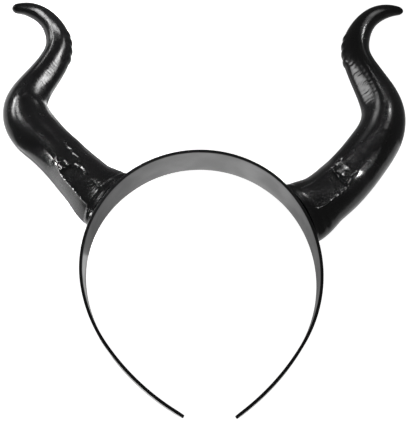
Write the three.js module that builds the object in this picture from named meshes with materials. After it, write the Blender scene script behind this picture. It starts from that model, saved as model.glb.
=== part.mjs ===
// Devil horns headband: a plastic hoop that grips the head, and two hollow vinyl horns seated on its outside.
// Millimetres. The piece lies on its back: +Z is up out of the hoop, +Y runs from the leg tips to the horn tips.
// The sizes below are worked out about the centre of the hoop's round top, half way through its width.

import * as THREE from 'three';

// Driving sizes

const hoopRadius = 65.5;       // outer face over the crown of the head
const hoopWall = 1.8;
const stripWidth = 26;         // front edge to rear edge over the crown
const evenRun = 46;            // along the outer face from the middle, before the strip narrows
const tipWidth = 6.5;
const tipRound = 4;            // how far the leg tips are rounded
const edgeBreak = 0.35;
const clearance = 0.3;         // between a horn's rim and the hoop

const hornLength = 172;
const rootHalf = 19.6;         // half the horn's width where it meets the hoop
const rootDepth = 0.44 * stripWidth;   // half its depth there, a little inside the strip's edges
const shellWall = 2;
const tipCap = 3;              // how far the blunt horn tip is rounded
const seatBlend = 16;          // over this length the sections turn from the hoop's curve to flat
const rimLip = 0.8;            // the bead round the rim stands out this far
const rimDeep = 1.8;
const ridgeRise = 1.1;
const panelSink = 1.0;
const foldRise = 0.45;         // small folds across the root, between the ridges
const foldPitch = 3.6;
const foldCount = 3;
const ringRise = 0.6;
const ringPitch = 4.25;
const ringCount = 4;
const ringStart = 0.68;        // share of the horn's length where the growth rings begin

// The legs: three arcs from the middle of the crown to each tip, in degrees and as radii of the outer face
const legs = [
  { hand: -1, crownTurn: 101.5, crownRadius: hoopRadius, sideTurn: 24, sideRadius: 1.23 * hoopRadius,
    lowerTurn: 25.6, lowerRadius: 1.94 * hoopRadius },
  { hand: 1, crownTurn: 59.5, crownRadius: hoopRadius, sideTurn: 62, sideRadius: 1.128 * hoopRadius,
    lowerTurn: 23.8, lowerRadius: 1.972 * hoopRadius },
];

// Where each horn sits: degrees round the crown from its middle, and its length as a share of the common one
const seats = [
  { name: 'horn_left', hand: -1, turn: 52.7, length: 0.98 },
  { name: 'horn_right', hand: 1, turn: 60.7, length: 1.021 },
];

// The horn's sections from root to tip. Heading is in degrees out from the hoop's middle plane,
// half widths are shares of rootHalf, and depth is the share of the half width, or of half the strip if less.
const sections = [
  { share: 0.00, headingLeft: 35, headingRight: 31, halfLeft: 0.96, halfRight: 0.96 },
  { share: 0.08, headingLeft: 44, headingRight: 37, halfLeft: 0.81, halfRight: 0.82 },
  { share: 0.16, headingLeft: 46, headingRight: 43.5, halfLeft: 0.74, halfRight: 0.79 },
  { share: 0.28, headingLeft: 44, headingRight: 52.5, halfLeft: 0.685, halfRight: 0.74 },
  { share: 0.36, headingLeft: 49, headingRight: 58, halfLeft: 0.73, halfRight: 0.715 },
  { share: 0.44, headingLeft: 79, headingRight: 80, halfLeft: 0.7, halfRight: 0.67 },
  { share: 0.52, headingLeft: 115, headingRight: 107, halfLeft: 0.57, halfRight: 0.61 },
  { share: 0.60, headingLeft: 121.5, headingRight: 114.5, halfLeft: 0.49, halfRight: 0.53 },
  { share: 0.68, headingLeft: 109.5, headingRight: 107.5, halfLeft: 0.44, halfRight: 0.455 },
  { share: 0.76, headingLeft: 77, headingRight: 77, halfLeft: 0.38, halfRight: 0.41 },
  { share: 0.84, headingLeft: 52.5, headingRight: 54.5, halfLeft: 0.295, halfRight: 0.32 },
  { share: 0.92, headingLeft: 22, headingRight: 20.5, halfLeft: 0.235, halfRight: 0.245 },
  { share: 1.00, headingLeft: -15, headingRight: -15, halfLeft: 0.14, halfRight: 0.11 },
];

const radians = (degrees) => degrees * Math.PI / 180;
const mix = (a, b, t) => a + (b - a) * t;
const ease = (t) => { const c = Math.min(1, Math.max(0, t)); return c * c * (3 - 2 * c); };

// A column of the section table at any share of the length, on a smooth curve through its rows
function column(key, share) {
  const last = sections.length - 1;
  let i = 0;
  while (i < last - 1 && share > sections[i + 1].share) i += 1;
  const [a, b] = [sections[i], sections[i + 1]];
  const before = sections[Math.max(0, i - 1)];
  const after = sections[Math.min(last, i + 2)];
  const span = b.share - a.share;
  const slopeA = (b[key] - before[key]) / (b.share - before.share) * span;
  const slopeB = (after[key] - a[key]) / (after.share - a.share) * span;
  const t = (share - a.share) / span;
  return (2 * t ** 3 - 3 * t ** 2 + 1) * a[key] + (t ** 3 - 2 * t ** 2 + t) * slopeA
    + (3 * t ** 2 - 2 * t ** 3) * b[key] + (t ** 3 - t ** 2) * slopeB;
}

// The hoop's outer face: the point and outward direction at a distance from the crown's middle down one leg
function legArcs(leg) {
  return [
    [radians(leg.crownTurn), leg.crownRadius],
    [radians(leg.sideTurn), leg.sideRadius],
    [radians(leg.lowerTurn), leg.lowerRadius],
  ];
}

const legLength = (leg) => legArcs(leg).reduce((sum, [turn, radius]) => sum + turn * radius, 0);

function onHoop(leg, distance) {
  let [centreX, centreY, angle, left] = [0, 0, Math.PI / 2, distance];
  const arcs = legArcs(leg);
  for (let i = 0; i < arcs.length; i += 1) {
    const [turn, radius] = arcs[i];
    if (left <= turn * radius || i === arcs.length - 1) {
      const at = angle - left / radius;
      return {
        x: leg.hand * (centreX + radius * Math.cos(at)),
        y: centreY + radius * Math.sin(at),
        outX: leg.hand * Math.cos(at),
        outY: Math.sin(at),
      };
    }
    angle -= turn;
    left -= turn * radius;
    centreX += (radius - arcs[i + 1][1]) * Math.cos(angle);
    centreY += (radius - arcs[i + 1][1]) * Math.sin(angle);
  }
  return null;
}

// A closed skin through rings of equally many points, each ring joined to the next. It is closed at both ends
// by a fan, or back onto the first ring.
function skin(rings, looped) {
  const around = rings[0].length;
  const points = rings.flat();
  const faces = [];
  const spans = looped ? rings.length : rings.length - 1;
  for (let r = 0; r < spans; r += 1) {
    const next = (r + 1) % rings.length;
    for (let i = 0; i < around; i += 1) {
      const j = (i + 1) % around;
      const [a, b, c, d] = [r * around + i, r * around + j, next * around + j, next * around + i];
      faces.push(a, b, c, a, c, d);
    }
  }
  if (!looped) {
    for (const [ring, flip] of [[0, true], [rings.length - 1, false]]) {
      const middle = new THREE.Vector3();
      rings[ring].forEach((p) => middle.add(p));
      points.push(middle.divideScalar(around));
      for (let i = 0; i < around; i += 1) {
        const [a, b] = [ring * around + i, ring * around + (i + 1) % around];
        faces.push(...(flip ? [b, a, points.length - 1] : [a, b, points.length - 1]));
      }
    }
  }
  const geometry = new THREE.BufferGeometry();
  geometry.setAttribute('position', new THREE.Float32BufferAttribute(points.flatMap((p) => [p.x, p.y, p.z]), 3));
  geometry.setIndex(faces);
  return geometry;
}

function turnedInsideOut(geometry) {
  const index = Array.from(geometry.index.array);
  for (let i = 0; i < index.length; i += 3) [index[i + 1], index[i + 2]] = [index[i + 2], index[i + 1]];
  geometry.setIndex(index);
  return geometry;
}

// A skin's volume is negative when it faces inward
function facingOut(geometry) {
  const p = geometry.attributes.position;
  const [a, b, c] = [new THREE.Vector3(), new THREE.Vector3(), new THREE.Vector3()];
  let volume = 0;
  for (let i = 0; i < geometry.index.count; i += 3) {
    a.fromBufferAttribute(p, geometry.index.getX(i));
    b.fromBufferAttribute(p, geometry.index.getX(i + 1));
    c.fromBufferAttribute(p, geometry.index.getX(i + 2));
    volume += a.dot(b.cross(c));
  }
  return volume < 0 ? turnedInsideOut(geometry) : geometry;
}

// The hoop

function stripHalf(leg, distance) {
  const length = legLength(leg);
  const narrowing = Math.max(0, distance - evenRun) / (length - evenRun);
  const half = mix(stripWidth, tipWidth, narrowing) / 2;
  const toTip = Math.min(1, (length - distance) / tipRound);
  return half * Math.sqrt(Math.max(0.02, 1 - (1 - toTip) ** 2));
}

function hoopRing(leg, distance) {
  const at = onHoop(leg, distance);
  const half = stripHalf(leg, distance);
  const edge = Math.min(edgeBreak, half / 3);
  const corners = [
    { inward: 0, depth: half - edge }, { inward: edge, depth: half },
    { inward: hoopWall - edge, depth: half }, { inward: hoopWall, depth: half - edge },
    { inward: hoopWall, depth: edge - half }, { inward: hoopWall - edge, depth: -half },
    { inward: edge, depth: -half }, { inward: 0, depth: edge - half },
  ];
  return corners.map((c) => new THREE.Vector3(at.x - at.outX * c.inward, at.y - at.outY * c.inward, c.depth));
}

function hoop() {
  const distances = (leg) => {
    const length = legLength(leg);
    const even = [1, 2, 3, 4, 5, 6].map((i) => evenRun * i / 6);
    const steps = Math.ceil((length - tipRound - evenRun) / 7);
    const taper = Array.from({ length: steps }, (_, i) => mix(evenRun, length - tipRound, (i + 1) / steps));
    const end = [0.35, 0.65, 0.87, 1].map((t) => length - tipRound * (1 - t));
    return [...even, ...taper, ...end];
  };
  const [left, right] = legs;
  const rings = [
    ...distances(left).reverse().map((d) => hoopRing(left, d)),
    hoopRing(right, 0),
    ...distances(right).map((d) => hoopRing(right, d)),
  ];
  return facingOut(skin(rings, false));
}

// The horns

// Degrees round a horn's section: 0 faces the other horn, 90 the front. The ridges lie at ridgeAngle from 90.
const ridgeAngle = 27;
const quarter = [0, 16, 32, 46, 56, 90 - ridgeAngle, 71, 80];
const frontHalf = [...quarter, 90, ...quarter.slice(1).map((a) => 180 - a).reverse()];
const angles = [...frontHalf, 180, ...frontHalf.slice(1).map((a) => 360 - a).reverse()];

// The centreline of one horn, walked from its seat
function centreline(seat, steps) {
  const leg = legs.find((l) => l.hand === seat.hand);
  const heading = seat.hand < 0 ? 'headingLeft' : 'headingRight';
  const start = onHoop(leg, radians(seat.turn) * leg.crownRadius);
  const length = hornLength * seat.length;
  const line = [{ x: seat.hand * start.x + clearance * seat.hand * start.outX, y: start.y + clearance * start.outY }];
  for (let i = 1; i <= steps; i += 1) {
    const at = radians(column(heading, (i - 0.5) / steps));
    const last = line[i - 1];
    line.push({ x: last.x + Math.cos(at) * length / steps, y: last.y + Math.sin(at) * length / steps });
  }
  return (share) => {
    const t = Math.min(steps - 1, Math.floor(share * steps));
    const f = share * steps - t;
    const at = radians(column(heading, share));
    return {
      x: mix(line[t].x, line[t + 1].x, f),
      y: mix(line[t].y, line[t + 1].y, f),
      acrossX: -Math.sin(at),
      acrossY: Math.cos(at),
    };
  };
}

// A row of equal swells, as many as count, each one unit long
const wave = (along, count) => (along > 0 && along < count ? Math.sin(Math.PI * (along % 1)) : 0);

// How far the section stands out at an angle, beyond its plain oval: ridges, the panel between them, growth rings
function relief(share, degrees, length) {
  const distance = share * length;
  const fromFront = Math.min(Math.abs(degrees - 90), Math.abs(degrees - 270));
  const rootward = ease((0.26 - share) / 0.08);
  const ridge = ridgeRise * rootward * Math.max(0, 1 - Math.abs(fromFront - ridgeAngle) / 12);
  const panel = panelSink * rootward * ease((distance - 5) / 8) * Math.max(0, 1 - fromFront / ridgeAngle);
  const fold = wave(distance / foldPitch - 0.75, foldCount) * foldRise * ease((40 - fromFront) / 15);
  const facing = ease((Math.cos(radians(degrees)) - 0.2) / 0.6);
  const ring = wave((share - ringStart) * length / ringPitch, ringCount) * ringRise * facing;
  const lip = rimLip * Math.max(0, 1 - distance / rimDeep);
  return ridge - panel + fold + ring + lip;
}

function hornRings(seat, shares, inset) {
  const leg = legs.find((l) => l.hand === seat.hand);
  const length = hornLength * seat.length;
  const half = seat.hand < 0 ? 'halfLeft' : 'halfRight';
  const line = centreline(seat, 120);
  const seatAt = radians(seat.turn) * leg.crownRadius;
  return shares.map((share) => {
    const at = line(share);
    const wide = rootHalf * column(half, share);
    const deep = mix(rootDepth, Math.min(wide, stripWidth / 2), ease(share / 0.16));
    const toTip = Math.min(1, (1 - share) * length / tipCap);
    const cap = Math.sqrt(Math.max(0.01, 1 - (1 - toTip) ** 2));
    const flat = ease(share * length / seatBlend);
    return angles.map((degrees) => {
      const out = (inset ? -inset : relief(share, degrees, length));
      const across = (wide * cap + out) * Math.cos(radians(degrees));
      const depth = Math.max(-stripWidth / 2, Math.min(stripWidth / 2, (deep * cap + out) * Math.sin(radians(degrees))));
      const seated = onHoop(leg, seatAt - across);
      const rise = clearance + share * length;
      return new THREE.Vector3(
        mix(seated.x + seated.outX * rise, seat.hand * (at.x + at.acrossX * across), flat),
        mix(seated.y + seated.outY * rise, at.y + at.acrossY * across, flat),
        depth,
      );
    });
  });
}

function horn(seat) {
  const length = hornLength * seat.length;
  const rim = [0, 0.5, 1].map((t) => t * rimDeep / length);
  const folds = Array.from({ length: foldCount * 2 + 1 }, (_, i) => (0.75 + i / 2) * foldPitch / length);
  const body = [0.1, 0.13, 0.16, 0.18, 0.2, 0.22, 0.24, 0.26, 0.29, 0.32, 0.35, 0.375,
    0.4, 0.425, 0.45, 0.475, 0.5, 0.525, 0.55, 0.58, 0.61, 0.64].concat(ringStart - 0.015);
  const rings = Array.from({ length: ringCount * 4 + 1 }, (_, i) => ringStart + i / 4 * ringPitch / length);
  const lastRing = rings[rings.length - 1];
  const tip = [0.17, 0.34, 0.51, 0.68, 0.84, 1].map((t) => mix(lastRing, 1 - tipCap / length, t));
  const cap = [0.35, 0.7, 0.92, 1].map((t) => 1 - (1 - t) * tipCap / length);
  const outer = hornRings(seat, [...rim, ...folds, ...body, ...rings, ...tip, ...cap], 0);
  const hollowEnd = 0.84;
  const hollow = [0, 0.03, 0.06, 0.1, 0.14, 0.18, 0.22, 0.26, 0.3, 0.35, 0.39, 0.43, 0.47, 0.51, 0.55, 0.59, 0.63,
    0.68, 0.73, 0.78, hollowEnd];
  const inner = hornRings(seat, hollow, shellWall);
  return facingOut(skin([...inner.reverse(), ...outer], false));
}

// Colours as in the photo: satin black hoop, gloss black horns

const hoopPlastic = new THREE.MeshStandardMaterial({ color: 0x1c1c1d, roughness: 0.42, metalness: 0 });
const hornVinyl = new THREE.MeshStandardMaterial({ color: 0x0e0e10, roughness: 0.2, metalness: 0 });

const group = new THREE.Group();

function add(name, geometry, material) {
  geometry.computeVertexNormals();
  const mesh = new THREE.Mesh(geometry, material);
  mesh.name = name;
  group.add(mesh);
}

add('headband', hoop(), hoopPlastic);
for (const seat of seats) add(seat.name, horn(seat), hornVinyl);

// The origin is under the middle of the whole piece, on the surface it lies on
const box = new THREE.Box3().setFromObject(group);
const middle = box.getCenter(new THREE.Vector3());
group.position.set(-middle.x, -middle.y, -box.min.z);

export default group;
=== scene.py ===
"""Devil horns headband: a satin black hoop and two hollow horns of glossy soft vinyl, lying on its back."""

from math import cos, pi, radians, sin, sqrt, tan

import bpy
import numpy as np
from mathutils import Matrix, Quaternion, Vector


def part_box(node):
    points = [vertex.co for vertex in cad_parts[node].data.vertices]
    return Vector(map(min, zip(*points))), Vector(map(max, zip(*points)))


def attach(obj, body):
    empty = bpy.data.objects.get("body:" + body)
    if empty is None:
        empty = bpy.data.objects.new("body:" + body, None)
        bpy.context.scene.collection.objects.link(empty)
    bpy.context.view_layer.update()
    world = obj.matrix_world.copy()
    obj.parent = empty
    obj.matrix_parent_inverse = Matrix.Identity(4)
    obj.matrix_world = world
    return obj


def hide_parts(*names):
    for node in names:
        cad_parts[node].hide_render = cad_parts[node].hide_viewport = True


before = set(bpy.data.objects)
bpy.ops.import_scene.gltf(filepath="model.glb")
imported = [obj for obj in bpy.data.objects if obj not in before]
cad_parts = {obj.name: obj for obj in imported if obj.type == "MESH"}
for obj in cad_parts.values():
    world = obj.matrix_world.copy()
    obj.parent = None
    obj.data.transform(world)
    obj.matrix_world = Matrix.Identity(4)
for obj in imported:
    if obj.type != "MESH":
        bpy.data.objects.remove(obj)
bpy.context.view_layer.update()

MM = 0.001

# The hoop, as the part's source has it. LEGS holds the arcs of each leg from the crown's middle, as a turn in
# degrees and the radius of the outer face
HOOP_RADIUS = 65.5 * MM
HOOP_WALL = 1.8 * MM
STRIP_WIDTH = 26 * MM
EVEN_RUN = 46 * MM
TIP_WIDTH = 6.5 * MM
TIP_ROUND = 4 * MM
EDGE_ROUND = 0.5 * MM
HOOP_COLUMNS = 150
GUIDE_OVERHANG = 0.4 * MM
CLEARANCE = 0.3 * MM
LEGS = {
    "left": [(101.5, HOOP_RADIUS), (24, 1.23 * HOOP_RADIUS), (25.6, 1.94 * HOOP_RADIUS)],
    "right": [(59.5, HOOP_RADIUS), (62, 1.128 * HOOP_RADIUS), (23.8, 1.972 * HOOP_RADIUS)],
}

# The horns: seat is in degrees round the crown, length a share of HORN_LENGTH. A section is an oval at the
# root, and round from the share ROUND_BY on, but never deeper than the strip is wide
HORN_LENGTH = 172 * MM
ROOT_HALF = 19.6 * MM
ROOT_DEPTH = 0.44 * STRIP_WIDTH
ROUND_BY = 0.16
SHELL_WALL = 2 * MM
TIP_CAP = 3 * MM
CAP_STEPS = (0.35, 0.65, 0.85, 0.96)
SEAT_BLEND = 16 * MM
RIM_DEEP = 1.8 * MM
HANDS = {
    "left": {"side": -1, "seat": 52.7, "length": 0.98},
    "right": {"side": 1, "seat": 60.7, "length": 1.021},
}
SECTION_COLUMNS = ("share", "heading left", "heading right", "half left", "half right")
SECTIONS = [
    (0.00, 35, 31, 0.96, 0.96),
    (0.08, 44, 37, 0.81, 0.82),
    (0.16, 46, 43.5, 0.74, 0.79),
    (0.28, 44, 52.5, 0.685, 0.74),
    (0.36, 49, 58, 0.73, 0.715),
    (0.44, 79, 80, 0.70, 0.67),
    (0.52, 115, 107, 0.57, 0.61),
    (0.60, 121.5, 114.5, 0.49, 0.53),
    (0.68, 109.5, 107.5, 0.44, 0.455),
    (0.76, 77, 77, 0.38, 0.41),
    (0.84, 52.5, 54.5, 0.295, 0.32),
    (0.92, 22, 20.5, 0.235, 0.245),
    (1.00, -15, -15, 0.14, 0.11),
]

hoop_low, hoop_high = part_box("headband")
HOOP_MIDDLE = np.array([hoop_low.x + HOOP_RADIUS, hoop_high.y - HOOP_RADIUS, STRIP_WIDTH / 2])


def mix(a, b, t):
    return a + (b - a) * t


def ease(t):
    t = np.clip(t, 0, 1)
    return t * t * (3 - 2 * t)


def bump_at(x, middle, half):
    """A smooth swell of height 1 that ends half away from its middle."""
    return ease(1 - np.abs(x - middle) / half)


def column(name, share):
    """A column of the section table at any share of the length, on a smooth curve through its rows."""
    values = [row[SECTION_COLUMNS.index(name)] for row in SECTIONS]
    shares = [row[0] for row in SECTIONS]
    last = len(shares) - 1
    i = max(i for i in range(last) if i == 0 or share > shares[i])
    before, after = max(0, i - 1), min(last, i + 2)
    span = shares[i + 1] - shares[i]
    slope_a = (values[i + 1] - values[before]) / (shares[i + 1] - shares[before]) * span
    slope_b = (values[after] - values[i]) / (shares[after] - shares[i]) * span
    t = (share - shares[i]) / span
    return (
        (2 * t**3 - 3 * t**2 + 1) * values[i]
        + (t**3 - 2 * t**2 + t) * slope_a
        + (3 * t**2 - 2 * t**3) * values[i + 1]
        + (t**3 - t**2) * slope_b
    )


def on_hoop(hand, distance):
    """The point on the hoop's outer face at a distance from the crown's middle, and its outward direction."""
    middle = np.zeros(2)
    angle = pi / 2
    arcs = LEGS[hand]
    for i, (turn, radius) in enumerate(arcs):
        run = radians(turn) * radius
        if distance <= run or i == len(arcs) - 1:
            at = angle - distance / radius
            out = np.array([cos(at), sin(at)])
            side = np.array([HANDS[hand]["side"], 1])
            return HOOP_MIDDLE[:2] + side * (middle + radius * out), side * out
        angle -= radians(turn)
        distance -= run
        middle = middle + (radius - arcs[i + 1][1]) * np.array([cos(angle), sin(angle)])


def leg_length(hand):
    return sum(radians(turn) * radius for turn, radius in LEGS[hand])


# Modelling, as by hand


def fresh(add, name, **settings):
    """Adds one primitive by its operator, with nothing else selected, and leaves it active."""
    bpy.ops.object.select_all(action="DESELECT")
    add(**settings)
    piece = bpy.context.object
    piece.name = piece.data.name = name
    return piece


def pick(piece, wanted):
    """Selects the vertices whose places pass a test, in edit mode, and returns to edit mode."""
    bpy.ops.mesh.select_all(action="DESELECT")
    bpy.ops.object.mode_set(mode="OBJECT")
    for v in piece.data.vertices:
        v.select = bool(wanted(v.co))
    bpy.ops.object.mode_set(mode="EDIT")


def apply_modifier(piece, kind, **settings):
    modifier = piece.modifiers.new(kind.title(), kind)
    for key, value in settings.items():
        setattr(modifier, key, value)
    bpy.context.view_layer.objects.active = piece
    bpy.ops.object.modifier_apply(modifier=modifier.name)


def places(piece):
    co = np.zeros(len(piece.data.vertices) * 3, np.float32)
    piece.data.vertices.foreach_get("co", co)
    return co.reshape(-1, 3).astype(float)


def put(piece, co):
    piece.data.vertices.foreach_set("co", co.astype(np.float32).ravel())
    piece.data.update()


def guide(name, points):
    """A curve through points, half way up the hoop's width, for a straight piece to be bent along."""
    curve = bpy.data.curves.new(name, "CURVE")
    curve.dimensions = "3D"
    curve.twist_mode = "Z_UP"
    spline = curve.splines.new("POLY")
    spline.points.add(len(points) - 1)
    for point, (x, y) in zip(spline.points, points):
        point.co = (x, y, HOOP_MIDDLE[2], 1)
    line = bpy.data.objects.new(name, curve)
    bpy.context.scene.collection.objects.link(line)
    return line


def bend(piece, line):
    """Bends a piece that was modelled straight along X from 0, and drops the guide."""
    apply_modifier(piece, "CURVE", object=line, deform_axis="POS_X")
    bpy.data.objects.remove(line)


def smooth_all(piece, angle=None):
    bpy.ops.object.select_all(action="DESELECT")
    piece.select_set(True)
    bpy.context.view_layer.objects.active = piece
    bpy.ops.object.mode_set(mode="EDIT")
    bpy.ops.mesh.select_all(action="SELECT")
    bpy.ops.mesh.normals_make_consistent(inside=False)
    bpy.ops.object.mode_set(mode="OBJECT")
    if angle is None:
        bpy.ops.object.shade_smooth()
    else:
        bpy.ops.object.shade_smooth_by_angle(angle=angle)


# The hoop: a flat strip, tapered to its ends, thickened, rounded and bent


def strip_half(hand, distance):
    length = leg_length(hand)
    narrowing = max(0, distance - EVEN_RUN) / (length - EVEN_RUN)
    half = mix(STRIP_WIDTH, TIP_WIDTH, narrowing) / 2
    to_tip = min(1, (length - distance) / TIP_ROUND)
    return half * sqrt(max(0.04, 1 - (1 - to_tip) ** 2))


def build_hoop():
    left, right = leg_length("left"), leg_length("right")
    strip = fresh(
        bpy.ops.mesh.primitive_grid_add, "headband_strip",
        x_subdivisions=HOOP_COLUMNS, y_subdivisions=4, size=1,
        location=((left + right) / 2, 0, 0), rotation=(pi / 2, 0, 0), scale=(1, 1, 1),
    )
    bpy.ops.object.transform_apply(location=True, rotation=True, scale=True)
    bpy.ops.object.mode_set(mode="EDIT")
    bpy.ops.mesh.select_all(action="SELECT")
    bpy.ops.transform.resize(value=(left + right, 1, STRIP_WIDTH), center_override=((left + right) / 2, 0, 0))
    step = (left + right) / HOOP_COLUMNS
    for i in range(HOOP_COLUMNS + 1):
        x = i * step
        hand, distance = ("left", left - x) if x < left else ("right", x - left)
        pick(strip, lambda co: abs(co.x - x) < step / 4)
        narrower = strip_half(hand, distance) / (STRIP_WIDTH / 2)
        bpy.ops.transform.resize(value=(1, 1, narrower), center_override=(x, 0, 0))
    bpy.ops.object.mode_set(mode="OBJECT")
    apply_modifier(strip, "SOLIDIFY", thickness=HOOP_WALL, offset=-1)
    co = places(strip)
    co[:, 1] -= co[:, 1].max()
    put(strip, co)
    apply_modifier(
        strip, "BEVEL", width=EDGE_ROUND, segments=3,
        limit_method="ANGLE", angle_limit=radians(50), use_clamp_overlap=True,
    )
    apply_modifier(strip, "SUBSURF", levels=1, render_levels=1)
    unrolled_map(strip, places(strip)[:, 0], places(strip)[:, 2])
    to_left, to_right = left + GUIDE_OVERHANG, right + GUIDE_OVERHANG
    points = [on_hoop("left", to_left - i * to_left / HOOP_COLUMNS)[0] for i in range(HOOP_COLUMNS)]
    points += [on_hoop("right", i * to_right / HOOP_COLUMNS)[0] for i in range(HOOP_COLUMNS + 1)]
    co = places(strip)
    co[:, 0] += GUIDE_OVERHANG
    put(strip, co)
    bend(strip, guide("hoop_line", points))
    smooth_all(strip, radians(50))
    return strip


def unrolled_map(piece, along, across, girth=None):
    """A UV map in metres, along and across a piece, that patterns follow. Girth joins the ends of across."""
    layer = piece.data.uv_layers.new(name="unrolled") if not piece.data.uv_layers else piece.data.uv_layers[0]
    layer.name = "unrolled"
    corner = np.zeros(len(piece.data.loops), int)
    piece.data.loops.foreach_get("vertex_index", corner)
    v = across[corner].reshape(-1, 4)
    if girth:
        v = np.where((np.ptp(v, axis=1, keepdims=True) > girth / 2) & (v < girth / 2), v + girth, v)
    layer.data.foreach_set("uv", np.stack([along[corner], v.ravel()], 1).astype(np.float32).ravel())


# The horns: a straight hollow tube drawn out section by section, worked in relief, bent and seated on the
# hoop. STATION_STEPS holds the start, end and step of the outer sections in mm, finest where the relief is
AROUND = 40
HOLLOW_END = 0.8
HOLLOW_RINGS = 10
STATION_STEPS = [(RIM_DEEP / MM, 44, 1.0), (44, 76, 2.0), (76, 118, 1.3), (118, 136, 1.6), (136, 1000, 2.6)]
GUIDE_STEPS = 600
MAP_GIRTH = 2 * pi * 13 * MM
OUTER_SKIN = 0.93

# Relief is in mm, and so are distances from the seat. Degrees run round a section, 0 on the inner side and 90
# in front. The root's points are drawn together towards FRONT, by up to FRONT_PULL degrees
FRONT = 105
FRONT_PULL = 26
FRONT_END = 62
FRONT_FADE = 14
RIM_FLARE = 0.8

# The panel between the two ridges and the flanks beside it: how flat they are, and how deep the panel sinks.
# None of it reaches the plain rim
PANEL_FLAT = 0.8
PANEL_SUNK = 0.7
PANEL_START = 2
PANEL_STEP_WIDE = 1.1
INNER_FLAT = 0.45
FLANK_END = 54
FLANK_FADE = 26
RIDGE_FADE = 8
PLAIN_RIM = 3.3
PLAIN_RIM_FADE = 1.8
LOWER_CREST = 0.8
UPPER_CREST = 0.4
CREST_LINE = 0.12
CREST_LINE_WIDE = 3

# Pleats beside the hoop, and folds below the panel
PLEAT_HEIGHT = 0.5
PLEAT_PITCH = 1.85
PLEATS_AT = {"degrees": 89, "half wide": 24, "distance": 7, "half long": 7.5}
FOLDS_AT = {"degrees": 142, "half wide": 40}

# Growth rings on the inner side near the upper bend. They start at a share of the length, and their edges
# are cosines of the angle from their middle. Their height fades over the last rings, counted in pitches
RING_START = 0.68
RING_COUNT = 4
RING_PITCH = 4.25
RING_HEIGHT = 0.6
RING_MIDDLE = -4
RING_EDGE = 0.78
RING_EDGE_FADE = 0.18
RING_FADE_END = 4.6
RING_FADE = 1.4

# Fine ripples and a flat on the upper horn, and the slow unevenness of the whole
RIPPLES_AT = {"share": 0.6, "half long": 0.13, "degrees": 46, "half wide": 50}
FLAT_DEEP = 0.95
FLAT_SIZE = {"half long": 0.15, "half wide": 42}
SWELL = 0.05
SWELL_FADE = 0.2

# What differs between the two horns. "upper" and "lower" are the degrees of the ridges at the distances in
# "upper at" and "lower at", and "end" is where both fade. The panel sinks over its first stretch and ends
# in a step, "panel end", given from the upper ridge to the lower. "flank" is how flat the lower flank is,
# down to "under edge". "flat" is the middle of the upper flat, as a share and in degrees, "ripple" the
# height and pitch of the ripples, "pleated" the strength of the pleats, and "gather" the pitch, reach and
# height of the folds
RIDGES = {
    "left": {
        "upper at": (0, 8, 16, 25, 33, 44),
        "upper": (89, 87, 83, 74, 71, 66),
        "lower at": (0, 6.4, 14.5, 25, 30.3, 34.6, 44),
        "lower": (139, 135.5, 133.5, 130, 124.5, 119, 113),
        "end": 38,
        "sinks over": 7,
        "panel end": (15.5, 19.5, 25.5, 26.5, 27),
        "flank": 0.9,
        "under edge": 184,
        "flat": (0.59, 56),
        "ripple": (0.035, 1.95),
        "pleated": 1.1,
        "gather": (2.0, 6.5, 0.14),
    },
    "right": {
        "upper at": (0, 7, 13, 23, 34, 44),
        "upper": (45, 47, 49, 52, 50, 47),
        "lower at": (0, 7.5, 13.7, 25.2, 26.6, 37, 44),
        "lower": (112, 115, 116, 115.5, 106, 105, 102),
        "end": 39,
        "sinks over": 20,
        "panel end": (30, 28, 26.5, 26, 26),
        "flank": 0.12,
        "under edge": 165,
        "flat": (0.555, 42),
        "ripple": (0.11, 2.9),
        "pleated": 0.1,
        "gather": (4.2, 13, 0.2),
    },
}

# Lugs on the ridges and on the panel's rim: teeth that rise sharply and fall away gently towards the tip.
# Start and long are in mm, middle and half_wide in degrees. A wide lug rises over a longer way
LUG_RISE = 0.35
LUG_RISE_PER_DEGREE = 1 / 20
LUG_FULLNESS = 1.3
LUG_FALL = 0.22
LUG_COLUMNS = ("start", "middle", "long", "half_wide")
LUGS = {
    "left": [
        (27.2, 118.0, 4.6, 8),
        (31.6, 115.5, 3.6, 7),
        (26.3, 100.5, 4.0, 5),
        (21.3, 86.5, 3.4, 6),
        (15.8, 83.5, 5.2, 7),
        (32.0, 70.0, 4.3, 3.5),
        (25.6, 73.0, 4.8, 3.5),
        (23.4, 129.8, 2.2, 3.5),
        (21.0, 130.8, 2.2, 3.5),
        (18.6, 131.8, 2.2, 3.5),
        (16.4, 132.6, 1.8, 3.5),
        (14.0, 133.6, 1.6, 3.5),
        (11.6, 133.6, 1.6, 3.5),
        (8.8, 134.4, 1.6, 3.5),
        (6.2, 135.6, 1.5, 3.5),
    ],
    "right": [
        (26.4, 105.6, 5.0, 3.5),
        (31.0, 105.2, 5.6, 3.5),
        (22.6, 115.2, 2.4, 4),
        (19.9, 115.0, 2.4, 3.2),
        (17.0, 115.2, 2.0, 4),
        (13.3, 115.8, 1.7, 4),
        (7.2, 115.2, 1.4, 3.5),
        (5.4, 112.0, 1.2, 3),
        (27.4, 53.0, 1.8, 4.5),
        (30.9, 53.0, 1.9, 4.5),
        (34.5, 49.5, 4.0, 3.5),
        (28.0, 73.0, 6.4, 19),
    ],
}


def section_size(hand, share, inset=0.0):
    """Half the width and half the depth of a horn's section."""
    length = HORN_LENGTH * HANDS[hand]["length"]
    wide = ROOT_HALF * column("half " + hand, share)
    deep = mix(ROOT_DEPTH, min(wide, STRIP_WIDTH / 2), float(ease(share / ROUND_BY)))
    to_tip = min(1, (1 - share) * length / TIP_CAP)
    cap = sqrt(max(0.02, 1 - (1 - to_tip) ** 2))
    return wide * cap - inset, deep * cap - inset


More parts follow.
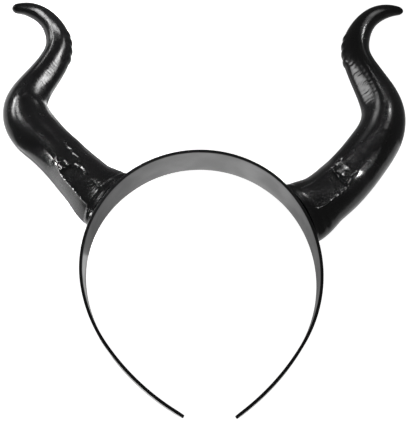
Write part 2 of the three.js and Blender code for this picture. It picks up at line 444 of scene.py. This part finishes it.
def draw_out(start, x, size, last_size):
    """Extrudes the open end to x and shapes it to the next section."""
    bpy.ops.mesh.extrude_edges_move(TRANSFORM_OT_translate={"value": (x - start, 0, 0)})
    bpy.ops.transform.resize(
        value=(1, size[0] / last_size[0], size[1] / last_size[1]), center_override=(x, 0, 0)
    )


def oval(degrees, wide, deep):
    angle = np.radians(degrees)
    return 1 / np.hypot(np.cos(angle) / wide, np.sin(angle) / deep)


def chord(degrees, start, end, at_start, at_end):
    """The straight line between two points of a section, as a distance from its middle."""
    span, turn = np.radians(end - start), np.radians(degrees - start)
    return at_start * at_end * np.sin(span) / (at_start * np.sin(turn) + at_end * np.sin(span - turn))


def lug(distance, degrees, start, middle, long, half_wide):
    past = distance - start
    rise = ease(past / (LUG_RISE + LUG_RISE_PER_DEGREE * half_wide) + 1)
    height = rise * LUG_FALL * np.clip(long - np.maximum(past, 0), 0, long)
    return height * ease(LUG_FULLNESS * (1 - np.abs(degrees - middle) / half_wide))


def tent(degrees, top, start, end):
    """1 at its top, and falling straight to 0 at its start and end."""
    return np.clip(np.minimum((degrees - start) / (top - start), (end - degrees) / (end - top)), 0, 1)


def facets(ridges, distance, degrees, wide, deep):
    """The root's flat panel between its two ridges, and the flatter flanks beside it."""
    plain = oval(degrees, wide, deep)
    upper = np.interp(distance, ridges["upper at"], ridges["upper"])
    lower = np.interp(distance, ridges["lower at"], ridges["lower"])
    ridged = ease((ridges["end"] - distance) / RIDGE_FADE)
    inner_edge = 0.0
    under_edge = ridges["under edge"]

    def flat(start, end):
        return chord(degrees, start, end, oval(start, wide, deep), oval(end, wide, deep)) - plain

    across = np.clip((degrees - upper) / (lower - upper), 0, 1)
    past_step = distance - np.interp(across, (0, 0.25, 0.5, 0.75, 1), ridges["panel end"])
    sunk = ease(0.5 - past_step / PANEL_STEP_WIDE) * ease((distance - PANEL_START) / ridges["sinks over"])
    hollow = PANEL_SUNK * sunk * np.sqrt(4 * across * (1 - across))
    panel = flat(upper, lower) * mix(PANEL_FLAT, 1, sunk) - hollow
    flank = ridges["flank"] * flat(lower, under_edge) * ease((FLANK_END - distance) / FLANK_FADE)
    inner_flank = INNER_FLAT * flat(inner_edge, upper) * ridged
    out = np.where(degrees < upper, inner_flank, np.where(degrees < lower, panel * ridged, flank))
    out = np.where(degrees > under_edge, 0, out)
    crest = LOWER_CREST * tent(degrees, lower, upper, under_edge)
    crest += UPPER_CREST * tent(degrees, upper, inner_edge, lower)
    for ridge in (lower, upper):
        crest += CREST_LINE * np.exp(-(((degrees - ridge) / CREST_LINE_WIDE) ** 2))
    return (out + crest * ridged) * ease((distance - PLAIN_RIM) / PLAIN_RIM_FADE)


def relief(hand, share, distance, degrees, wide, deep):
    """How far a horn's skin stands off its plain oval, as a maker works clay."""
    ridges = RIDGES[hand]
    out = facets(ridges, distance, degrees, wide, deep)
    for row in LUGS[hand]:
        out += lug(distance, degrees, **dict(zip(LUG_COLUMNS, row)))

    sway = 0.5 * np.sin(degrees / 11) + 0.35 * np.sin(degrees / 5.3 + distance)
    pleated = ridges["pleated"] * bump_at(degrees, PLEATS_AT["degrees"], PLEATS_AT["half wide"])
    pleated *= bump_at(distance, PLEATS_AT["distance"], PLEATS_AT["half long"])
    out += PLEAT_HEIGHT * pleated * (1 - (distance + sway) / PLEAT_PITCH % 1) ** 2
    pitch, reach, deep_folds = ridges["gather"]
    gathered = bump_at(degrees, FOLDS_AT["degrees"], FOLDS_AT["half wide"])
    gathered = gathered * bump_at(distance, reach / 2, reach / 2)
    out += deep_folds * gathered * np.sin(2 * pi * (distance + 0.2 * sway) / pitch)
    out += RIM_FLARE * np.clip(1 - distance * MM / RIM_DEEP, 0, 1)

    along = (distance - RING_START * distance / share) / RING_PITCH
    inward = ease((np.cos(np.radians(degrees - RING_MIDDLE)) - RING_EDGE) / RING_EDGE_FADE)
    fade = ease((RING_FADE_END - along) / RING_FADE)
    ring = np.where(along > 0, np.abs(np.sin(pi * along)), 0) * (along < RING_COUNT)
    out += RING_HEIGHT * inward * fade * ring

    fine = bump_at(share, RIPPLES_AT["share"], RIPPLES_AT["half long"])
    fine = fine * bump_at(degrees, RIPPLES_AT["degrees"], RIPPLES_AT["half wide"])
    fine = fine * (0.6 + 0.4 * np.sin(distance * 0.9 + degrees / 14))
    wander = 0.7 * np.sin(degrees / 17) + 0.35 * np.sin(degrees / 6.5 + distance / 3)
    height, pitch = ridges["ripple"]
    out += height * fine * np.sin(2 * pi * (distance + wander) / pitch)
    flat_share, flat_degrees = ridges["flat"]
    flattened = FLAT_DEEP * bump_at(share, flat_share, FLAT_SIZE["half long"])
    out -= flattened * bump_at(degrees, flat_degrees, FLAT_SIZE["half wide"])
    swell = np.sin(distance / 7.1 + degrees / 31) + np.sin(distance / 11.3 - degrees / 23 + 2)
    out += SWELL * swell * ease((1 - share) / SWELL_FADE)
    return out


def stations(length):
    """Shares of the length where a horn's outer skin gets a section."""
    last = length / MM - TIP_CAP / MM
    marks = []
    for start, end, step in STATION_STEPS:
        end = min(end, last)
        count = max(1, round((end - start) / step))
        marks += [start + (end - start) * i / count for i in range(count)]
    return [x * MM / length for x in marks + [last]]


def build_horn(hand):
    length = HORN_LENGTH * HANDS[hand]["length"]
    hollow = [(HOLLOW_END * (1 - i / (HOLLOW_RINGS - 1)), SHELL_WALL) for i in range(HOLLOW_RINGS)]
    rim = [0.0, 0.5 * RIM_DEEP / length]
    cap_start = 1 - TIP_CAP / length
    cap = [mix(cap_start, 1, t) for t in CAP_STEPS]
    sections = hollow + [(share, 0.0) for share in rim + stations(length) + cap]

    share, inset = sections[0]
    size = section_size(hand, share, inset)
    horn = fresh(
        bpy.ops.mesh.primitive_circle_add, "horn_" + hand + "_skin", vertices=AROUND, radius=1,
        fill_type="NGON", location=(share * length, 0, 0), rotation=(0, pi / 2, 0),
    )
    bpy.ops.object.transform_apply(location=True, rotation=True, scale=True)
    bpy.ops.object.mode_set(mode="EDIT")
    bpy.ops.mesh.select_all(action="SELECT")
    bpy.ops.transform.resize(value=(1, size[0], size[1]), center_override=(share * length, 0, 0))
    bpy.ops.mesh.select_mode(type="EDGE")
    for next_share, inset in sections[1:]:
        next_size = section_size(hand, next_share, inset)
        draw_out(share * length, next_share * length, next_size, size)
        share, size = next_share, next_size
    bpy.ops.mesh.extrude_edges_move(TRANSFORM_OT_translate={"value": (length * (1 - share), 0, 0)})
    bpy.ops.mesh.merge(type="CENTER")
    bpy.ops.mesh.select_mode(type="VERT")
    bpy.ops.object.mode_set(mode="OBJECT")
    apply_modifier(horn, "SUBSURF", levels=2, render_levels=2)
    smooth_all(horn)
    work_relief(horn, hand, length)
    bend_horn(horn, hand, length)
    smooth_all(horn)
    return horn


def work_relief(horn, hand, length):
    """Pushes the outer skin out and in, while the horn is still straight, and lays its unrolled map."""
    co = places(horn)
    distance = np.maximum(co[:, 0], 0)
    share = distance / length
    degrees = np.degrees(np.arctan2(co[:, 2], co[:, 1])) % 360
    shares = np.linspace(0, 1, 401)
    sizes = np.array([section_size(hand, s) for s in shares])
    wide = np.interp(share, shares, sizes[:, 0])
    deep = np.interp(share, shares, sizes[:, 1])
    fullness = np.hypot(co[:, 1] / wide, co[:, 2] / deep)
    pull = ease((distance / MM - FRONT_END) / -FRONT_FADE)
    degrees -= FRONT_PULL * np.sin(np.radians(degrees - FRONT)) * pull
    degrees %= 360
    outer = fullness > OUTER_SKIN
    outer |= share > HOLLOW_END + 0.01
    out = relief(hand, np.maximum(share, 1e-4), distance / MM, degrees, wide / MM, deep / MM) * MM
    out = np.where(outer, out, 0)
    radial = np.radians(degrees)
    radius = fullness * oval(degrees, wide, deep) + out
    co[:, 1] = radius * np.cos(radial)
    co[:, 2] = np.maximum(radius * np.sin(radial), -STRIP_WIDTH / 2)
    put(horn, co)
    unrolled_map(horn, distance, degrees / 360 * MAP_GIRTH, MAP_GIRTH)


def bend_horn(horn, hand, length):
    side = HANDS[hand]["side"]
    seat_at = radians(HANDS[hand]["seat"]) * HOOP_RADIUS
    start, out = on_hoop(hand, seat_at)
    point = (start + CLEARANCE * out - HOOP_MIDDLE[:2]) * (side, 1)
    line = [point]
    for i in range(GUIDE_STEPS):
        heading = radians(column("heading " + hand, (i + 0.5) / GUIDE_STEPS))
        point = point + length / GUIDE_STEPS * np.array([cos(heading), sin(heading)])
        line.append(point)
    line = HOOP_MIDDLE[:2] + np.array(line) * (side, 1)
    straight = places(horn)
    if side < 0:
        co = straight.copy()
        co[:, 1] *= -1
        put(horn, co)
    bend(horn, guide("horn_line", line))
    co = places(horn)
    flat = ease(straight[:, 0] / SEAT_BLEND)
    for i in np.flatnonzero(flat < 1):
        distance, across = straight[i, :2]
        seated, out = on_hoop(hand, seat_at - across)
        seated = seated + out * (CLEARANCE + distance)
        co[i, :2] = mix(seated, co[i, :2], flat[i])
    put(horn, co)


hoop = build_hoop()
horns = {hand: build_horn(hand) for hand in HANDS}

# Finishes


class Wire:
    """A socket of a material, so that shader maths reads as Python."""

    def __init__(self, recipe, socket):
        self.recipe, self.socket = recipe, socket

    def maths(self, operation, *values):
        return self.recipe.node("ShaderNodeMath", {"operation": operation}, dict(enumerate(values)))

    def __add__(self, other):
        return self.maths("ADD", self, other)

    __radd__ = __add__

    def __mul__(self, other):
        return self.maths("MULTIPLY", self, other)

    __rmul__ = __mul__


class Recipe:
    """A node tree that starts empty, and the nodes that are added to it."""

    def __init__(self, tree):
        self.tree = tree
        self.tree.nodes.clear()

    def node(self, kind, settings=None, inputs=None, out=0):
        made = self.tree.nodes.new(kind)
        for key, value in (settings or {}).items():
            setattr(made, key, value)
        for key, value in (inputs or {}).items():
            if isinstance(value, Wire):
                self.tree.links.new(value.socket, made.inputs[key])
            else:
                made.inputs[key].default_value = value
        return Wire(self, made.outputs[out]) if len(made.outputs) else made

    def ramp(self, value, low, high, to_low=0.0, to_high=1.0):
        settings = {"interpolation_type": "SMOOTHSTEP"}
        return self.node("ShaderNodeMapRange", settings, {0: value, 1: low, 2: high, 3: to_low, 4: to_high})

    def noise(self, vector, scale, detail=2.0, roughness=0.5):
        inputs = {"Vector": vector, "Scale": scale, "Detail": detail, "Roughness": roughness}
        return self.node("ShaderNodeTexNoise", None, inputs)

    def blend(self, factor, first, second):
        """Two colours blended. The colours of a Mix node are its sockets 6 and 7."""
        inputs = {"Factor": factor, 6: first, 7: second}
        return self.node("ShaderNodeMix", {"data_type": "RGBA"}, inputs, out=2)

    def bump(self, height, strength, distance, under=None):
        inputs = {"Height": height, "Strength": strength, "Distance": distance}
        if under is not None:
            inputs["Normal"] = under
        return self.node("ShaderNodeBump", None, inputs)

    def finish(self, **inputs):
        named = {key.replace("_", " "): value for key, value in inputs.items()}
        shader = self.node("ShaderNodeBsdfPrincipled", None, named)
        self.node("ShaderNodeOutputMaterial", None, {"Surface": shader})


def new_finish(name):
    material = bpy.data.materials.new(name)
    material.use_nodes = True
    return material, Recipe(material.node_tree)


def own_place(recipe):
    """Places in the piece's own coordinates."""
    return recipe.node("ShaderNodeTexCoord", out="Object")


def unrolled(recipe, stretch):
    """The piece's unrolled map, with its two directions stretched to suit a pattern."""
    flat = recipe.node("ShaderNodeUVMap", {"uv_map": "unrolled"})
    return recipe.node("ShaderNodeMapping", None, {"Vector": flat, "Scale": stretch})


def horn_vinyl():
    material, recipe = new_finish("glossy horn vinyl")
    where = own_place(recipe)
    dents = recipe.noise(where, scale=110)
    creases = recipe.noise(unrolled(recipe, (700, 130, 1)), scale=1, detail=3, roughness=0.6)
    grain = recipe.noise(where, scale=1500)
    patches = recipe.noise(where, scale=45, detail=1)
    soft = recipe.bump(dents, strength=0.2, distance=1 * MM)
    creased = creases * recipe.ramp(patches, 0.42, 0.62)
    lined = recipe.bump(creased, strength=0.028, distance=0.3 * MM, under=soft)
    normal = recipe.bump(grain, strength=0.018, distance=0.08 * MM, under=lined)
    roughness = recipe.ramp(recipe.noise(where, scale=240, detail=3), 0.3, 0.75, 0.18, 0.28)
    shade = recipe.blend(patches, (0.004, 0.004, 0.0043, 1), (0.007, 0.007, 0.0074, 1))
    recipe.finish(Base_Color=shade, Roughness=roughness, Normal=normal)
    return material


def hoop_satin():
    material, recipe = new_finish("satin hoop plastic")
    where = own_place(recipe)
    drawn = recipe.noise(unrolled(recipe, (60, 900, 1)), scale=1, detail=3, roughness=0.6)
    cloud = recipe.noise(where, scale=60, detail=3)
    grain = recipe.noise(where, scale=1800)
    lined = recipe.bump(drawn, strength=0.06, distance=0.1 * MM)
    normal = recipe.bump(grain, strength=0.12, distance=0.05 * MM, under=lined)
    roughness = recipe.ramp(cloud, 0.3, 0.7, 0.3, 0.4)
    shade = recipe.blend(cloud, (0.006, 0.006, 0.0065, 1), (0.012, 0.012, 0.013, 1))
    recipe.finish(Base_Color=shade, Roughness=roughness, Normal=normal)
    return material


def light_table():
    material, recipe = new_finish("white light table")
    recipe.finish(
        Base_Color=(0.9, 0.9, 0.9, 1), Roughness=0.9, Emission_Color=(1, 1, 1, 1), Emission_Strength=1.0
    )
    return material


hoop.data.materials.append(hoop_satin())
vinyl = horn_vinyl()
for horn in horns.values():
    horn.data.materials.append(vinyl)

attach(hoop, "root")
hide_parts("headband")
for hand, horn in horns.items():
    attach(horn, "root")
    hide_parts("horn_" + hand)

# Studio: a white floor that glows as a light table does, soft boxes, bright cards on the floor and dim walls

FLOOR_WIDTH = 30
CARD_HEIGHT = 0.6
ROOM_LIGHT = 0.12

floor = fresh(bpy.ops.mesh.primitive_plane_add, "floor", size=FLOOR_WIDTH, location=(0, 0, 0))
floor.data.materials.append(light_table())
floor.visible_glossy = False


def towards(azimuth, elevation):
    """A direction: azimuth 0 is +Y and 90 is +X."""
    azimuth, elevation = radians(azimuth), radians(elevation)
    return Vector((cos(elevation) * sin(azimuth), cos(elevation) * cos(azimuth), sin(elevation)))


def lamp_at(name, at, wide, tall, radiance, spread=180):
    """A rectangular light at a place in mm, of a size in mm. Radiance is what it shows straight ahead."""
    light = bpy.data.lights.new(name, "AREA")
    light.shape = "RECTANGLE"
    light.size, light.size_y = wide * MM, tall * MM
    light.spread = radians(spread)
    half = radians(spread / 2)
    narrowed = 1 - half / tan(half) if spread < 180 else 1
    light.energy = radiance * pi * light.size * light.size_y * narrowed
    lamp = bpy.data.objects.new(name, light)
    bpy.context.scene.collection.objects.link(lamp)
    lamp.location = Vector(at) * MM
    lamp.visible_camera = False
    return lamp


def floor_card(name, at, turn, wide, deep, radiance):
    """A bright patch of the floor that the vinyl mirrors."""
    lamp = lamp_at(name, (*at, CARD_HEIGHT), wide, deep, radiance)
    lamp.rotation_euler = (pi, 0, radians(turn))


# Soft boxes. A row holds place, aim, width and height in mm, roll in degrees, radiance, and spread in degrees
SOFT_BOXES = {
    "left bend lamp": ((-155, 77, 60), (-111, 48, 25), 50, 10, -6, 28, 64),
    "left tip lamp": ((-117, 125, 41), (-101, 113, 18), 26, 4, 0, 30, 80),
    "left curl lamp": ((-94, 126, 39), (-92, 103, 20), 26, 4, 0, 24, 80),
    "left low lamp": ((-247, 207, 70), (-95, 98, 19), 24, 80, 0, 20, 16),
    "left panel": ((25, 66, 35), (92, 60, 20), 44, 54, 0, 8.5, 68),
    "left back panel": ((58, 90, 62), (97, 50, 24), 26, 20, -30, 6, 40),
    "left root lamp": ((-225, 112, 200), (-72, 12, 20), 55, 45, 0, 70, 18),
    "left lower ridge lamp": ((-177, -8, 31), (-69, 5, 20), 25, 20, 0, 300, 18),
    "left upper ridge lamp": ((-91, 239, 145), (-80, 20, 22), 50, 36, 0, 40, 10),
    "right bend lamp": ((192, 148, 192), (106, 60, 15), 30, 24, 0, 60, 26),
    "right panel": ((130, 135, 208), (-94, 76, 18), 190, 62, 0, 34, 34),
    "right tip panel": ((114, 128, 40), (102, 115, 18), 24, 8, 0, 3.5, 70),
    "right back panel": ((146, 257, 165), (-88, 98, 15), 130, 60, 0, 14, 26),
    "right tip lamp": ((137, 142, 57), (93.5, 103, 20), 8, 7, 0, 110, 7),
    "right root lamp": ((103, 198, 187), (68, 18, 20), 56, 44, 0, 80, 13),
    "right lug lamp": ((45, 155, 142), (66, -6, 25), 22, 16, 0, 85, 12),
    "right lower ridge lamp": ((149, 27, 88), (62, 11, 20), 22, 18, 0, 260, 15),
}
for name, (at, aim, wide, tall, roll, radiance, spread) in SOFT_BOXES.items():
    lamp = lamp_at(name, at, wide, tall, radiance, spread)
    facing = (Vector(aim) - Vector(at)).to_track_quat("-Z", "Y")
    lamp.rotation_euler = (facing @ Quaternion((0, 0, 1), radians(roll))).to_euler()

floor_card("card under the left root", (-128, -30), 137, 70, 90, 1.5)
floor_card("card left of the left bend", (-222, 100), 0, 208, 160, 0.8)
floor_card("card in the left corner", (-89, 85), 0, 22, 40, 1.8)
floor_card("card under the right root", (195, -52), 0, 250, 170, 0.7)
floor_card("card inside the left leg", (-55, -62), 10, 16, 60, 1.1)


def studio_walls():
    world = bpy.data.worlds.new("studio")
    world.use_nodes = True
    recipe = Recipe(world.node_tree)
    where = recipe.node("ShaderNodeTexCoord", out="Generated")

    def glow(azimuth, elevation, start, full, strength):
        facing = recipe.node(
            "ShaderNodeVectorMath", {"operation": "DOT_PRODUCT"},
            {0: where, 1: towards(azimuth, elevation)}, out="Value",
        )
        return recipe.ramp(facing, start, full, 0, strength)

    below = glow(azimuth=0, elevation=-90, start=0.3, full=0.8, strength=0.35)
    in_front = glow(azimuth=-168, elevation=-70, start=0.8, full=1, strength=1.8)
    light = ROOM_LIGHT + below + in_front
    background = recipe.node("ShaderNodeBackground", None, {"Color": (1, 1, 1, 1), "Strength": light})
    recipe.node("ShaderNodeOutputWorld", None, {"Surface": background})
    bpy.context.scene.world = world


studio_walls()
bpy.context.scene.view_settings.view_transform = "Standard"

# The camera, in the photograph's place: from the leg side, 20 degrees off straight above. Place in mm
CAMERA_FROM_HOOP = (-2.22, -132.99, 453.83)
CAMERA_TILT = 20.09
CAMERA_LEAN = -0.58
CAMERA_LENS = 72.93

camera = bpy.data.objects.new("camera", bpy.data.cameras.new("camera"))
bpy.context.scene.collection.objects.link(camera)
camera.data.lens = CAMERA_LENS
camera.data.clip_start = 0.01
camera.location = HOOP_MIDDLE + np.array(CAMERA_FROM_HOOP) * MM
camera.rotation_euler = (radians(CAMERA_TILT), radians(CAMERA_LEAN), 0)
bpy.context.scene.camera = camera
